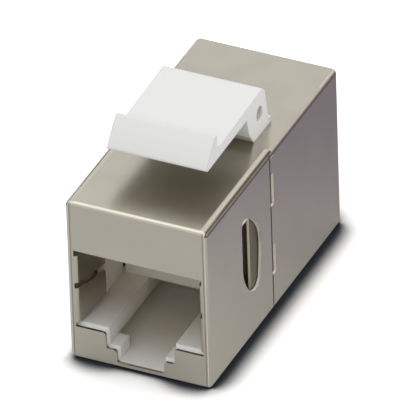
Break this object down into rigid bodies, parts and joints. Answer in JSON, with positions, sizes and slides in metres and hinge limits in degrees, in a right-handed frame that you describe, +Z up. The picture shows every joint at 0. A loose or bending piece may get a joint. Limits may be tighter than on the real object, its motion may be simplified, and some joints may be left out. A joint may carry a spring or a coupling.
{
  "type": "ethernet jack insert",
  "caption": "Shielded ethernet coupler insert: a plug socket at each end of a folded nickel-plated sheet case, with a white latch clip on the roof.",
  "frame": {"origin": "middle of the underside, halfway between the two mouths", "axes": "+X across the insert to the right seen from the front mouth, +Y from the front mouth to the rear mouth, +Z up towards the latch clip"},
  "size_m": [0.0144, 0.0298, 0.0234],
  "materials": {
    "nickel_sheet": "nickel-plated sheet, satin",
    "shield_sheet": "nickel-plated sheet, dull",
    "white_plastic": "moulded, fine matt",
    "carrier_plastic": "moulded, fine matt",
    "clip_plastic": "moulded, smooth",
    "board": "green solder mask",
    "steel_pin": "bright turned",
    "gold_wire": "gold-plated spring wire"
  },
  "bodies": {
    "root": {"centre_shield": "shield_sheet", "coupler_board": "board", "front_carrier": "carrier_plastic", "front_contact_1": "gold_wire", "front_contact_2": "gold_wire", "front_contact_3": "gold_wire", "front_contact_4": "gold_wire", "front_contact_5": "gold_wire", "front_contact_6": "gold_wire", "front_contact_7": "gold_wire", "front_contact_8": "gold_wire", "front_shell": "nickel_sheet", "front_socket": "white_plastic", "latch_clip": "clip_plastic", "latch_pin": "steel_pin", "rear_carrier": "carrier_plastic", "rear_contact_1": "gold_wire", "rear_contact_2": "gold_wire", "rear_contact_3": "gold_wire", "rear_contact_4": "gold_wire", "rear_contact_5": "gold_wire", "rear_contact_6": "gold_wire", "rear_contact_7": "gold_wire", "rear_contact_8": "gold_wire", "rear_shell": "nickel_sheet", "rear_socket": "white_plastic"}
  },
  "joints": []
}
